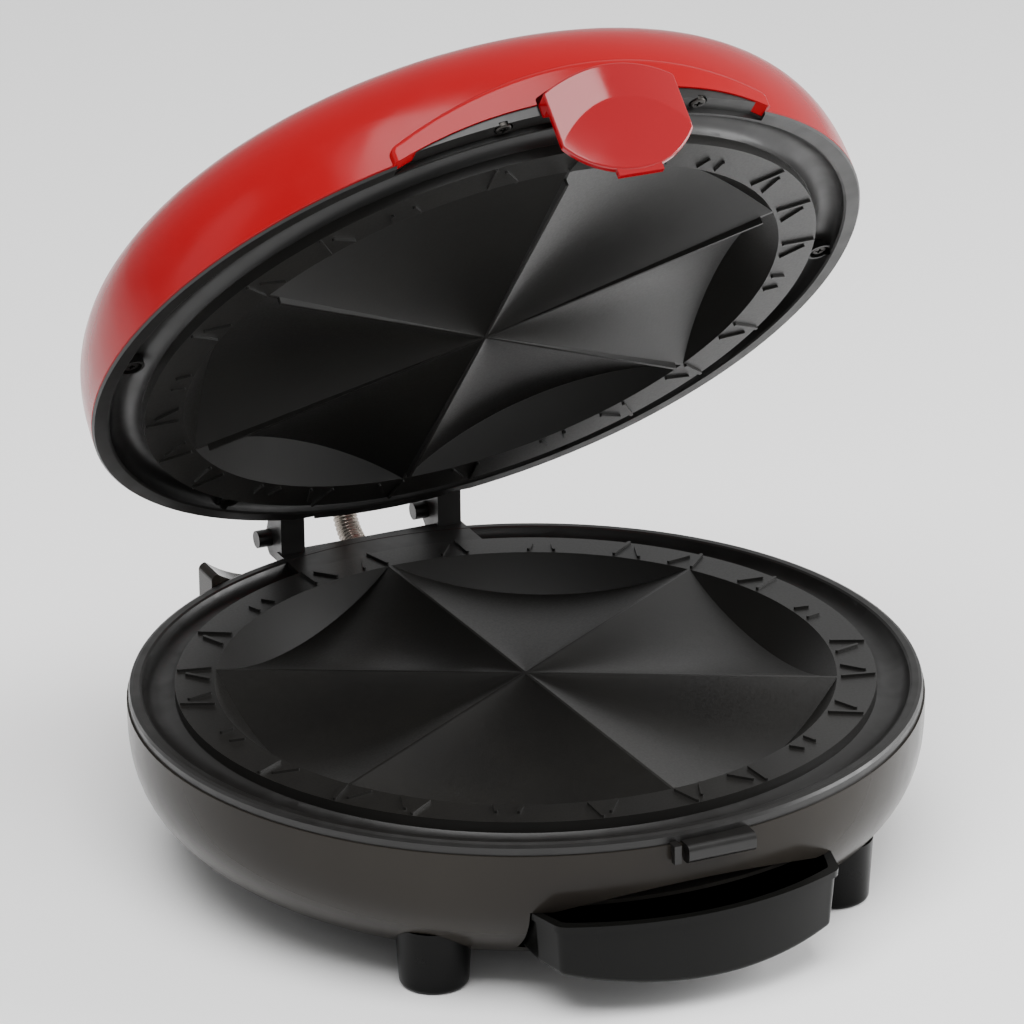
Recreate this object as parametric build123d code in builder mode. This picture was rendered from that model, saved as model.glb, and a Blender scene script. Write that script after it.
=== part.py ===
"""Countertop quesadilla maker: a round base and a domed lid, each with a six-wedge cooking plate.

Origin: centre of the round base, on the surface that its feet stand on.  +Z is up, the latch is at
-Y and the hinge at +Y.  The lid's pieces are drawn closed and swung open about the hinge at the end.
"""

from build123d import *
import os
from math import cos, pi, sin, sqrt, tan

os.makedirs("parts", exist_ok=True)

# ---- overall, mm ------------------------------------------------------------------------------
RIM_Z = 54.0  # base rim above the surface it stands on
LID_GAP = 6.0  # between the two rims when closed
OPEN_ANGLE = 48.5  # lid angle as shown
WALL = 2.5
FIT = 0.2  # locating clearance between mouldings
SEAT = 0.05  # clearance of a close curved seat

# ---- base -------------------------------------------------------------------------------------
RIM_R = 120.0
RIM_EDGE = 1.4  # two-step bevel of the trim ring's outer edge
SHELL_R = RIM_R + 0.6  # bowl at its mouth
SHELL_FLAT_R = SHELL_R - 27.1  # its flat underside
SHELL_UNDER_ROUND = 2.5
SHELL_DEPTH = 47.0  # rim down to the flat underside
SHELL_SEAM = 3.8  # rim down to the mouth of the bowl
SKIRT_DEPTH = 8.0  # rim down to the end of the trim ring's locating skirt
MOAT_R = RIM_R - 4.0  # outer edge of the channel round the plate
MOAT_MID_R = RIM_R - 9.0
MOAT_DROP = 4.2
MOAT_SINK = 3.4  # depth of the screw seats in the channel
SEAT_LIP = 8.0  # width of the lip that carries the plate flange
RING_T = 2.5
LAND_HALF = 31.5  # flat bridge over the channel at the hinge
LAND_BACK = RIM_R + 0.5
LAND_T = 3.7

FOOT_X = SHELL_R - 55.2
FOOT_Y = SHELL_R - 42.6
FOOT_R = 10.2
FOOT_TOP_R = 11.4
FOOT_TOP = 34.0  # foot's highest possible point below the rim
FOOT_ROUND = 1.6
FOOT_RECESS_R = 4.0
FOOT_RECESS = 2.6

COVER_R = SHELL_FLAT_R - 31.5
COVER_T = 2.0
COVER_HOLE_R = COVER_R - 8.0
COVER_SCREW_R = COVER_R - 4.0
VENT_RINGS = (COVER_R - 40.0, COVER_R - 28.0)

FIN_LEFT = -SHELL_R + 61.1  # stop lobe at the rear left
FIN_RIGHT = FIN_LEFT + 14.5
FIN_TOP = 2.6
FIN_BACK = SHELL_R - 3.6
FIN_FRONT = FIN_BACK - 11.0
FIN_LOW = 18.0

# ---- cooking plates ---------------------------------------------------------------------------
PLATE_R = RIM_R - 14.0
FLANGE_T = 3.3
POCKET_R = PLATE_R - 12.0
POCKET_DEPTH = 9.85  # cone floor under the ridge line, at the pocket's rim
POCKET_DRAFT = 1.04  # run over drop of the pocket's end wall
PLATE_WALL = 3.0
WEDGES = 6
RIDGE_W = 0.9
LOWER_FACE = 0.3  # lower plate's flat ring above the base rim
LOWER_RISE = 0.0  # ridge crossing above the flat ring
LOWER_TURN = 2.5  # degrees
UPPER_FACE = 2.95  # upper plate's flat ring past the lid rim
UPPER_RISE = 2.2
MARK_W = 1.1
MARK_H = 0.8
MARK_IN = POCKET_R + 1.7
MARK_OUT = PLATE_R - 0.9
MARK_SHORT = PLATE_R - 3.6
MARK_STUB = PLATE_R - 6.5
# crimp marks of one wedge: degrees from its ridge, and the side its short leg stands on
LOWER_MARKS = ((0, 1), (16, -1), (30, 0), (44, 1))
UPPER_MARKS = ((0, -1), (15, -1), (30, 0), (45, -1))

HEATER_R = POCKET_R - 28.0
HEATER_TUBE_R = 3.3
HEATER_DROP = 14.5  # centre line behind the flat ring
HEATER_BOSS_W = 13.0
HEATER_ARC = 325.0
HEATER_LEG = 7.5
CENTRE_BOSS_R = 9.0
SCREW_R = 40.0
SCREW_BOSS_R = 4.0
SCREW_SHANK_R = 1.5
SCREW_HEAD_R = 3.0
SCREW_HEAD_T = 2.0
SCREW_BITE = 5.0
REFLECTOR_DROP = 19.0
REFLECTOR_T = 0.8
REFLECTOR_R = POCKET_R - 5.0
REFLECTOR_RIM = 4.5
THERMOSTAT_R = 8.0
THERMOSTAT_H = 8.5
FUSE_R = 2.2
FUSE_Y = RIM_R - 64.0
TERMINAL_Y = RIM_R - 44.0
FUSE_L = 22.0

# ---- hinge ------------------------------------------------------------------------------------
POST_X = 27.0
POST_W = 8.0
HINGE_Y = RIM_R + 2.9
HINGE_RISE = 20.1  # above the base rim
EAR_R = 5.2
POST_BACK = RIM_R + 11.0
PEG_R = 2.8
PEG_L = 4.6
PIN_R = 2.4
PIN_RUN = 0.06
PIN_HEAD_R = 3.8
PIN_HEAD_T = 1.4
LUG_W = 7.0
LUG_R = 4.6
LUG_GAP = 0.4
LUG_ROOT = RIM_R - 8.0
NOTCH_GAP = 0.8

# ---- wire conduit behind the hinge ------------------------------------------------------------
CONDUIT_X = -0.5
CONDUIT_OD = 8.0
CONDUIT_BORE = 5.4
CONDUIT_BEND = 14.0
CONDUIT_SLOPE = 15.4  # degrees that it climbs from the base
CONDUIT_DROP = 8.9  # exit below the base rim
CONDUIT_LID_RISE = 8.0  # entry above the hinge axis, lid closed
RIB_PITCH = 1.45
RIB_DEPTH = 0.6
FERRULE_R = 5.0
FERRULE_L = 6.0
FERRULE_IN = 2.4  # part of a ferrule inside the wall
CORD_GLAND_X = 34.0
CORD_GLAND_DROP = 27.0
CORD_GLAND_R = 6.0
CORD_GLAND_OUT = 5.0

# ---- lid --------------------------------------------------------------------------------------
LID_R = RIM_R + 1.3
DOME_RISE = 43.5
DOME_LIP = 2.6  # straight part of the dome above its edge
DOME_EDGE = 0.7  # black bezel left showing under the dome
EDGE_BEVEL = 0.6  # on the lower edge of the dome
BROW_X = 2.2
BROW_HALF = RIM_R - 60.5
BROW_R = LID_R + 2.7
BROW_TOP = 16.0
BROW_END = 5.5
BROW_ROUND = 1.6
BROW_CORNER = 2.4
BROW_LOW = 5.0  # height of the black ledge under the brow
BROW_FLAT = 0.55  # share of the brow's half width over which the ledge keeps that height
BEZEL_STEP = 1.6  # height of the screw ledge under the brow
BEZEL_STEP_R = LID_R - 3.7
BEZEL_BROW_R = BROW_R - 0.7
LEDGE_SCREW_X = 31.0  # either side of the latch
LEDGE_SCREW_R = LID_R - 0.6
LEDGE_SINK_R = 2.9
LEDGE_SINK = 0.9
LEDGE_HEAD_R = 2.4
LEDGE_HEAD_T = 1.5
LEDGE_BITE = 7.0
MOAT_SCREW_R = RIM_R - 7.0
MOAT_SCREW_ANGLES = (183, 357, 60, 120)  # degrees round the lid

# ---- latch and catch --------------------------------------------------------------------------
LATCH_X = 5.0  # right of the middle, as shown
LATCH_HALF = 20.4
LATCH_FACE = LID_R + 10.0  # front of its bulging face
LATCH_BULGE_R = 72.0
LATCH_BACK = LID_R + 5.1
LATCH_TOP = 10.2
LATCH_TOP_END = 5.2
LATCH_SHOULDER = -12.6
LATCH_LOW = -23.2
LATCH_LIP = -1.2
LATCH_ROUND = 0.8
LATCH_CORNER = 1.2
LATCH_ROOF_BACK = LID_R + 1.1
LATCH_ROOF_T = 2.4
LATCH_CHEEK = 1.8
LATCH_NOTCH = 1.5  # room over the latch in the brow
LATCH_SIDE = 0.5  # room beside it
LIP_R = 25.7
LIP_ROUND = 3.0
WAIST_SPAN = pi / 8
SCOOP_BOW = 2.8  # hollow of the thumb face
LATCH_PIVOT_Y = LID_R - 1.9
LATCH_PIVOT_Z = 5.6
LATCH_PIN_R = 1.2
KNUCKLE_R = 2.2
KNUCKLE_W = 6.0
BRACKET_HALF = 5.0
BRACKET_LOW = 3.0
BAY_WALL_R = LID_R - 6.3  # bezel wall behind the latch
BAY_WALL_T = 1.4
ROOF_GAP = 0.6
TAB_HALF = 7.0
TAB_LOW = -24.4
HOOK_T = 2.2
HOOK_IN = LID_R + 1.1
HOOK_GAP = 0.5
CATCH_W = 21.5
CATCH_OUT = RIM_R + 5.3
CATCH_IN = RIM_R + 1.2
CATCH_TOP = 3.1
CATCH_LOW = 8.8
CATCH_ROUND = 2.0
CATCH_RIB_X = -8.4  # small rib beside the bar
CATCH_RIB_W = 2.2
CATCH_RIB_OUT = RIM_R + 3.4

# ---- drip tray --------------------------------------------------------------------------------
TRAY_TOP = 22.3  # drops below the rim
TRAY_LOW = 45.2
TRAY_FRONT = RIM_R + 11.0
TRAY_HALF = 48.0
TRAY_CORNER_X = TRAY_HALF - 3.0
TRAY_CORNER_Y = TRAY_FRONT - 10.2
TRAY_SHOULDER_Y = TRAY_FRONT - 22.0
TRAY_BACK = TRAY_FRONT - 51.0
TRAY_WALL = 1.8
TRAY_RIM = 0.7  # how far the rim stands out from the walls
TRAY_RIM_H = 2.2
TRAY_DRAFT = 5.0  # degrees
TRAY_ROUND = 1.6
TRAY_CORNER_R = 5.0
TRAY_BELLY_R = 205.0
TRAY_BELLY_X = 5.0  # lowest under the latch
TRAY_GAP = 0.4
BAY_TOP = 16.3  # crown of the hollow above the tray
BAY_END = 24.0
BAY_HALF = TRAY_HALF - 0.5
HOUSING_T = 1.4
HOOD_R = RIM_R - 19.0
HOOD_RUN = 20.0
HOOD_RISE = 12.0

LID_RIM = RIM_Z + LID_GAP
HINGE_Z = RIM_Z + HINGE_RISE
SEAM_Z = RIM_Z - SHELL_SEAM
FLOOR_Z = RIM_Z - SHELL_DEPTH
SWING = Location((0, HINGE_Y, HINGE_Z)) * Location((0, 0, 0), (-OPEN_ANGLE, 0, 0))
SWING = SWING * Location((0, -HINGE_Y, -HINGE_Z))
LOWER_SEAT = Location((0, 0, RIM_Z + LOWER_FACE), (0, 0, LOWER_TURN))
UPPER_SEAT = Location((0, 0, LID_RIM - UPPER_FACE), (180, 0, 0))
FOOT_SPOTS = [(FOOT_X * side, FOOT_Y * end) for end in (-1, 1) for side in (-1, 1)]
DOWN = (Align.CENTER, Align.CENTER, Align.MAX)
UP = (Align.CENTER, Align.CENTER, Align.MIN)


# ---- shared forms -----------------------------------------------------------------------------
def bowl_radius(drop):
    """Outer radius of the base bowl at a drop below the rim."""
    share = (drop - SHELL_SEAM) / (SHELL_DEPTH - SHELL_SEAM)
    return SHELL_R - (SHELL_R - SHELL_FLAT_R) * share**3.3


def bowl(inset, top, bottom):
    """Solid within the base bowl, drawn in by an inset, between two drops below the rim."""
    shares = (0.0, 0.25, 0.45, 0.62, 0.76, 0.88, 1.0)
    drops = [SHELL_SEAM + share * (bottom - SHELL_SEAM) for share in shares]
    curve = [(bowl_radius(drop) - inset, RIM_Z - drop) for drop in drops]
    mouth = curve[0][0]
    with BuildPart(mode=Mode.PRIVATE) as solid:
        with BuildSketch(Plane.XZ):
            with BuildLine():
                Spline(*curve)
                Line(curve[-1], (0, curve[-1][1]))
                Line((0, curve[-1][1]), (0, RIM_Z - top))
                Line((0, RIM_Z - top), (mouth, RIM_Z - top))
                if top < SHELL_SEAM:
                    Line((mouth, RIM_Z - top), curve[0])
            make_face()
        revolve(axis=Axis.Z)
    return solid.part


def dome(inset, foot):
    """Solid within the closed lid's dome, drawn in by an inset, down to a height over its rim."""
    rim = LID_R - inset
    radii = [rim * share for share in (0.0, 0.34, 0.6, 0.76, 0.87, 0.94, 0.98, 1.0)]
    rise = DOME_RISE - inset
    curve = [(r, LID_RIM + DOME_LIP + rise * (1 - (r / rim) ** 6) ** (1 / 2.4)) for r in radii]
    with BuildPart(mode=Mode.PRIVATE) as solid:
        with BuildSketch(Plane.XZ):
            with BuildLine():
                Spline(*curve, tangents=[(1, 0), (0, -1)])
                Polyline(curve[-1], (rim, LID_RIM + foot), (0, LID_RIM + foot), curve[0])
            make_face()
        revolve(axis=Axis.Z)
    return solid.part


def tube(outer, inner, low, high):
    """Round tube about +Z between two heights."""
    with BuildPart(mode=Mode.PRIVATE) as ring:
        with BuildSketch(Plane.XY.offset(low)):
            Circle(outer)
            if inner:
                Circle(inner, mode=Mode.SUBTRACT)
        extrude(amount=high - low)
    return ring.part


def wedge(rise, lower):
    """Cone-floored wedge about +X: one pocket, lowered behind the plate's face."""
    half = pi / WEDGES
    apex = RIDGE_W / 2 / sin(half)
    reach = 1.1 * POCKET_R
    wide = (reach - apex) * tan(half)
    scale = reach / cos(half) / POCKET_R
    edge = rise * (1 - scale) - lower
    above = FLANGE_T + lower + 6
    near = 0.01
    with BuildPart(mode=Mode.PRIVATE) as cutter:
        for x, half_w, high, dip in (
            (apex + near, near * tan(half), rise - lower, POCKET_DEPTH * near / POCKET_R),
            (reach, wide, edge, POCKET_DEPTH * scale),
        ):
            with BuildSketch(Plane.YZ.offset(x)):
                with BuildLine():
                    ThreePointArc((-half_w, high), (0, high - dip), (half_w, high))
                    Polyline((half_w, high), (half_w, above), (-half_w, above), (-half_w, high))
                make_face()
        loft(ruled=True)
    return cutter.part


def pocket(rise):
    """Hollow of one wedge, with its sloping end wall."""
    deep = POCKET_DEPTH + 6
    with BuildPart(mode=Mode.PRIVATE) as hollow:
        add(wedge(rise, 0))
        with BuildSketch(Plane.XZ):
            with BuildLine():
                Polyline(
                    (0, -deep),
                    (POCKET_R - deep * POCKET_DRAFT, -deep),
                    (POCKET_R, 0),
                    (POCKET_R, deep),
                    (0, deep),
                    (0, -deep),
                )
            make_face()
        revolve(axis=Axis.Z, mode=Mode.INTERSECT)
    return hollow.part


def crimp_marks(marks):
    """Short raised bars on the flat ring, in slanting pairs."""
    with BuildPart(mode=Mode.PRIVATE) as bars:
        with BuildSketch(Plane.XY.offset(-0.3)):
            for turn in range(WEDGES):
                for place, side in marks:
                    legs = ((MARK_STUB, -2.4, -1.9), (MARK_STUB, 2.4, 1.9))
                    if side:
                        legs = ((MARK_OUT, 0, 1.2 * side), (MARK_SHORT, 4.9 * side, 2.9 * side))
                    for end_r, start_a, end_a in legs:
                        zero = 90 + 360 / WEDGES * turn + place
                        first = Vector(MARK_IN, 0, 0).rotate(Axis.Z, zero + start_a)
                        last = Vector(end_r, 0, 0).rotate(Axis.Z, zero + end_a)
                        slope = Vector(1, 0, 0).get_signed_angle(last - first, Vector(0, 0, 1))
                        middle = (first + last) * 0.5
                        with Locations(Location((middle.X, middle.Y, 0), (0, 0, slope))):
                            SlotCenterToCenter((last - first).length, MARK_W)
        extrude(amount=0.3 + MARK_H)
    return bars.part


def plate_casting(rise, marks):
    """Cooking plate, face up with its flat ring at z = 0."""
    turns = PolarLocations(0, WEDGES, start_angle=180 / WEDGES + 90)
    back = -HEATER_DROP
    with BuildPart(mode=Mode.PRIVATE) as casting:
        add(tube(PLATE_R, 0, -FLANGE_T, 0))
        add(tube(POCKET_R - 4, 0, -PLATE_WALL, rise + 0.01))
        body = wedge(rise, PLATE_WALL) & tube(POCKET_R, 0, -2 * POCKET_DEPTH, 0)
        with turns:
            add(body)
        add(tube(HEATER_R + HEATER_BOSS_W / 2, HEATER_R - HEATER_BOSS_W / 2, back, -PLATE_WALL))
        add(tube(CENTRE_BOSS_R, 0, back, -PLATE_WALL))
        with PolarLocations(SCREW_R, 3, start_angle=90):
            add(tube(SCREW_BOSS_R, 0, -REFLECTOR_DROP, -PLATE_WALL))
        with turns:
            add(pocket(rise), mode=Mode.SUBTRACT)
        with BuildSketch(Plane.XZ):
            with Locations((HEATER_R, back)):
                Circle(HEATER_TUBE_R + SEAT)
        revolve(axis=Axis.Z, mode=Mode.SUBTRACT)
        with PolarLocations(SCREW_R, 3, start_angle=90):
            hole = tube(SCREW_SHANK_R + SEAT, 0, -REFLECTOR_DROP, SCREW_BITE + 0.5 - REFLECTOR_DROP)
            add(hole, mode=Mode.SUBTRACT)
        add(crimp_marks(marks))
    return casting.part


def cross_screw(head_r, head_t, shank_r, length):
    """Cross-recess screw with its head above z = 0 and its shank below."""
    with BuildPart(mode=Mode.PRIVATE) as screw:
        Cylinder(head_r, head_t, align=UP)
        fillet(screw.edges().group_by(Axis.Z)[-1], head_t * 0.4)
        Cylinder(shank_r, length, align=DOWN)
        with BuildSketch(Plane.XY.offset(head_t)):
            Rectangle(head_r * 1.1, head_r * 0.28)
            Rectangle(head_r * 0.28, head_r * 1.1)
        extrude(amount=-head_t * 0.5, mode=Mode.SUBTRACT)
    return screw.part


def heater():
    """Tubular element with its two legs turned back, for a plate that faces up."""
    with BuildPart(mode=Mode.PRIVATE) as element:
        with BuildSketch(Plane.XZ):
            with Locations((HEATER_R, -HEATER_DROP)):
                Circle(HEATER_TUBE_R)
        revolve(axis=Axis.Z, revolution_arc=HEATER_ARC)
        with PolarLocations(HEATER_R, 2, angular_range=HEATER_ARC, endpoint=True):
            with Locations((0, 0, -HEATER_DROP)):
                Sphere(HEATER_TUBE_R)
                Cylinder(HEATER_TUBE_R, HEATER_LEG, align=DOWN)
    return element.part


def reflector():
    """Shallow sheet pan behind the element."""
    back = -REFLECTOR_DROP - REFLECTOR_T
    with BuildPart(mode=Mode.PRIVATE) as pan:
        add(tube(REFLECTOR_R, THERMOSTAT_R + 1, back, -REFLECTOR_DROP))
        add(tube(REFLECTOR_R, REFLECTOR_R - REFLECTOR_T, back, back + REFLECTOR_RIM))
        with PolarLocations(SCREW_R, 3, start_angle=90):
            Cylinder(SCREW_SHANK_R + FIT, 3 * REFLECTOR_DROP, mode=Mode.SUBTRACT)
        with PolarLocations(HEATER_R, 2, angular_range=HEATER_ARC, endpoint=True):
            Cylinder(HEATER_TUBE_R + 1, 3 * REFLECTOR_DROP, mode=Mode.SUBTRACT)
    return pan.part


def plate_screws():
    """Three screws that hold the reflector to the bosses of a plate that faces up."""
    screw = cross_screw(SCREW_HEAD_R, SCREW_HEAD_T, SCREW_SHANK_R, SCREW_BITE)
    with BuildPart(mode=Mode.PRIVATE) as screws:
        with PolarLocations(SCREW_R, 3, start_angle=90):
            add(Pos(0, 0, -REFLECTOR_DROP - REFLECTOR_T) * Rot(180, 0, 0) * screw)
    return screws.part


def tray_form(grow, long):
    """Outer form of the drip tray, grown by a clearance; long runs its sides straight out."""
    high = RIM_Z - TRAY_TOP
    low = RIM_Z - TRAY_LOW - grow
    back = -TRAY_BACK + grow
    half = TRAY_HALF + grow
    with BuildPart(mode=Mode.PRIVATE) as form:
        with BuildSketch(Plane.XY.offset(high)):
            with BuildLine():
                if long:
                    front = -TRAY_FRONT - 10
                    Polyline((half, back), (half, front), (-half, front), (-half, back), (half, back))
                else:
                    corner = (TRAY_CORNER_X + grow, -TRAY_CORNER_Y - grow)
                    Polyline((half, back), (half, -TRAY_SHOULDER_Y), corner)
                    ThreePointArc(corner, (0, -TRAY_FRONT - grow), (-corner[0], corner[1]))
                    Polyline(
                        (-corner[0], corner[1]), (-half, -TRAY_SHOULDER_Y), (-half, back), (half, back)
                    )
            make_face()
            if not long:
                fillet(vertices(), TRAY_CORNER_R + grow)
        extrude(amount=low - high, taper=TRAY_DRAFT)
        belly = TRAY_BELLY_R + grow
        with BuildSketch(Plane.XZ.offset(TRAY_BACK - 10)):
            with Locations((TRAY_BELLY_X, low + belly)):
                Circle(belly)
        extrude(amount=TRAY_FRONT, mode=Mode.INTERSECT)
    return form.part


def block(x_low, x_high, y_low, y_high, z_low, z_high):
    """Plain block between limits."""
    middle = Pos((x_low + x_high) / 2, (y_low + y_high) / 2, (z_low + z_high) / 2)
    return middle * Box(x_high - x_low, y_high - y_low, z_high - z_low, mode=Mode.PRIVATE)


def rod(radius, x_low, x_high, y, z):
    """Round rod along X."""
    lying = Rot(0, 90, 0) * Cylinder(radius, x_high - x_low, mode=Mode.PRIVATE)
    return Pos((x_low + x_high) / 2, y, z) * lying


# ---- conduit route, in the plane x = CONDUIT_X ------------------------------------------------
conduit_plane = Plane(origin=(CONDUIT_X, 0, 0), x_dir=(0, 1, 0), z_dir=(1, 0, 0))
base_exit = Vector(0, sqrt(SHELL_R**2 - CONDUIT_X**2), RIM_Z - CONDUIT_DROP)
base_out = Vector(0, 1, 0).rotate(Axis.X, CONDUIT_SLOPE)
lid_wall = Vector(0, sqrt(LID_R**2 - CONDUIT_X**2), HINGE_Z + CONDUIT_LID_RISE)
hinge_point = Vector(0, HINGE_Y, HINGE_Z)
lid_entry = (lid_wall - hinge_point).rotate(Axis.X, -OPEN_ANGLE) + hinge_point
lid_out = Vector(0, 1, 0).rotate(Axis.X, -OPEN_ANGLE)
# the two straight ends, run on until they cross
span = lid_entry - base_exit
crossing = base_out.Y * lid_out.Z - base_out.Z * lid_out.Y
base_reach = (span.Y * lid_out.Z - span.Z * lid_out.Y) / crossing
conduit_corner = base_exit + base_out * base_reach
conduit_start = base_exit + base_out * (FERRULE_L - FERRULE_IN - 2)
conduit_end = lid_entry + lid_out * (FERRULE_L - FERRULE_IN - 2)
with BuildLine(conduit_plane) as conduit_route:
    FilletPolyline(
        (conduit_start.Y, conduit_start.Z),
        (conduit_corner.Y, conduit_corner.Z),
        (conduit_end.Y, conduit_end.Z),
        radius=CONDUIT_BEND,
    )

# ---- base shell -------------------------------------------------------------------------------
bay_high = RIM_Z - BAY_TOP
bay_side = RIM_Z - BAY_END
with BuildPart() as base_shell:
    add(bowl(0, SHELL_SEAM, SHELL_DEPTH))
    fillet(base_shell.faces().sort_by(Axis.Z)[0].edges(), SHELL_UNDER_ROUND)
    add(bowl(WALL, 0, SHELL_DEPTH - WALL), mode=Mode.SUBTRACT)
    with BuildSketch(Plane.XZ.offset(-FIN_BACK)):
        with BuildLine():
            Polyline((FIN_RIGHT, RIM_Z - FIN_LOW), (FIN_LEFT, RIM_Z - FIN_LOW), (FIN_LEFT, RIM_Z + 0.6))
            ThreePointArc(
                (FIN_LEFT, RIM_Z + 0.6),
                (FIN_LEFT + 0.7, RIM_Z + 2.0),
                (FIN_LEFT + 2.2, RIM_Z + FIN_TOP),
            )
            ThreePointArc(
                (FIN_LEFT + 2.2, RIM_Z + FIN_TOP),
                (FIN_LEFT + 8.0, RIM_Z - 1.2),
                (FIN_RIGHT, SEAM_Z),
            )
            Line((FIN_RIGHT, SEAM_Z), (FIN_RIGHT, RIM_Z - FIN_LOW))
        make_face()
    extrude(amount=FIN_BACK - FIN_FRONT)
    add(bowl(WALL, 0, SHELL_DEPTH - WALL), mode=Mode.SUBTRACT)
    add(tube(RIM_R + FIT, 0, SEAM_Z, RIM_Z + 10), mode=Mode.SUBTRACT)
    add(tray_form(TRAY_GAP, True), mode=Mode.SUBTRACT)
    with BuildSketch(Plane.XZ.offset(HOOD_R - 4)):
        with BuildLine():
            ThreePointArc((-BAY_HALF, bay_side), (0, bay_high), (BAY_HALF, bay_side))
            Polyline(
                (BAY_HALF, bay_side),
                (BAY_HALF, RIM_Z - TRAY_TOP - 6),
                (-BAY_HALF, RIM_Z - TRAY_TOP - 6),
                (-BAY_HALF, bay_side),
            )
        make_face()
    extrude(amount=40, mode=Mode.SUBTRACT)
    Cylinder(COVER_HOLE_R, 4 * FLOOR_Z, mode=Mode.SUBTRACT)
    with PolarLocations(COVER_SCREW_R, 4, start_angle=45):
        Cylinder(SCREW_SHANK_R + SEAT, 2 * (FLOOR_Z + 2 * WALL), mode=Mode.SUBTRACT)
    with Locations(*FOOT_SPOTS):
        Cylinder(SCREW_SHANK_R + SEAT, RIM_Z, mode=Mode.SUBTRACT)
    with Locations(Plane(base_exit + Vector(CONDUIT_X, 0, 0), z_dir=base_out)):
        Cylinder(FERRULE_R + SEAT, 4 * WALL, mode=Mode.SUBTRACT)
    with Locations(Plane((CORD_GLAND_X, SHELL_R, RIM_Z - CORD_GLAND_DROP), z_dir=(0, 1, 0))):
        Cylinder(CORD_GLAND_R + SEAT, 40, mode=Mode.SUBTRACT)
base_shell.part.label = "base_shell"
export_step(base_shell.part, "parts/base_shell.step")

# ---- underside cover --------------------------------------------------------------------------
with BuildPart() as bottom_cover:
    add(tube(COVER_R, 0, FLOOR_Z - COVER_T, FLOOR_Z))
    fillet(bottom_cover.edges().group_by(Axis.Z)[0], 1.0)
    with BuildSketch(Plane.XY.offset(FLOOR_Z - COVER_T)):
        for ring_r in VENT_RINGS:
            with PolarLocations(ring_r, 12):
                SlotOverall(8, 2.5)
    extrude(amount=COVER_T, mode=Mode.SUBTRACT)
    with PolarLocations(COVER_SCREW_R, 4, start_angle=45):
        Cylinder(SCREW_SHANK_R + SEAT, 4 * FLOOR_Z, mode=Mode.SUBTRACT)
bottom_cover.part.label = "bottom_cover"
export_step(bottom_cover.part, "parts/bottom_cover.step")

with BuildPart() as cover_screws:
    low_screw = Rot(180, 0, 0) * cross_screw(SCREW_HEAD_R, SCREW_HEAD_T, SCREW_SHANK_R, 4.0)
    with PolarLocations(COVER_SCREW_R, 4, start_angle=45):
        add(Pos(0, 0, FLOOR_Z - COVER_T) * low_screw)
cover_screws.part.label = "cover_screws"
export_step(cover_screws.part, "parts/cover_screws.step")

# ---- feet -------------------------------------------------------------------------------------
FOOT_NAMES = ("foot_front_left", "foot_front_right", "foot_rear_left", "foot_rear_right")
foot_height = RIM_Z - FOOT_TOP
for foot_name, (foot_x, foot_y) in zip(FOOT_NAMES, FOOT_SPOTS):
    with BuildPart() as foot:
        with Locations((foot_x, foot_y)):
            Cone(FOOT_R, FOOT_TOP_R, foot_height, align=UP)
        fillet(foot.edges().group_by(Axis.Z)[0], FOOT_ROUND)
        add(bowl(-SEAT, 0, SHELL_DEPTH), mode=Mode.SUBTRACT)
        add(tube(SHELL_FLAT_R + 1, 0, FLOOR_Z - SEAT, FLOOR_Z + 1), mode=Mode.SUBTRACT)
        with Locations((foot_x, foot_y)):
            Cylinder(FOOT_RECESS_R, FOOT_RECESS, align=UP, mode=Mode.SUBTRACT)
            Cylinder(SCREW_SHANK_R + SEAT, foot_height, align=UP, mode=Mode.SUBTRACT)
    foot.part.label = foot_name
    export_step(foot.part, f"parts/{foot_name}.step")

with BuildPart() as foot_screws:
    bowl_at_foot = RIM_Z - SHELL_DEPTH + 8
    long_screw = cross_screw(SCREW_HEAD_R, SCREW_HEAD_T, SCREW_SHANK_R, bowl_at_foot)
    with Locations(*FOOT_SPOTS):
        add(Pos(0, 0, FOOT_RECESS) * Rot(180, 0, 0) * long_screw)
foot_screws.part.label = "foot_screws"
export_step(foot_screws.part, "parts/foot_screws.step")

# ---- trim ring, with the hinge posts and the catch --------------------------------------------
def catch():
    """Rounded bar that the latch hooks under, with a small rib beside it."""
    left = LATCH_X - CATCH_W / 2
    right = LATCH_X + CATCH_W / 2
    rib_left = CATCH_RIB_X - CATCH_RIB_W / 2
    rib_right = CATCH_RIB_X + CATCH_RIB_W / 2
    top = RIM_Z - CATCH_TOP
    low = RIM_Z - CATCH_LOW
    with BuildPart(mode=Mode.PRIVATE) as bar:
        add(block(left, right, -CATCH_OUT, -CATCH_IN, low, top))
        fillet(bar.edges().filter_by(Axis.X).sort_by(Axis.Y)[:2], CATCH_ROUND)
        add(block(left, right, -CATCH_IN - 1, -RIM_R + 2.5, SEAM_Z + 0.1, top))
        add(block(rib_left, rib_right, -CATCH_RIB_OUT, -CATCH_IN, low, top))
        add(block(rib_left, rib_right, -CATCH_IN - 1, -RIM_R + 2.5, SEAM_Z + 0.1, top))
    return bar.part


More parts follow.
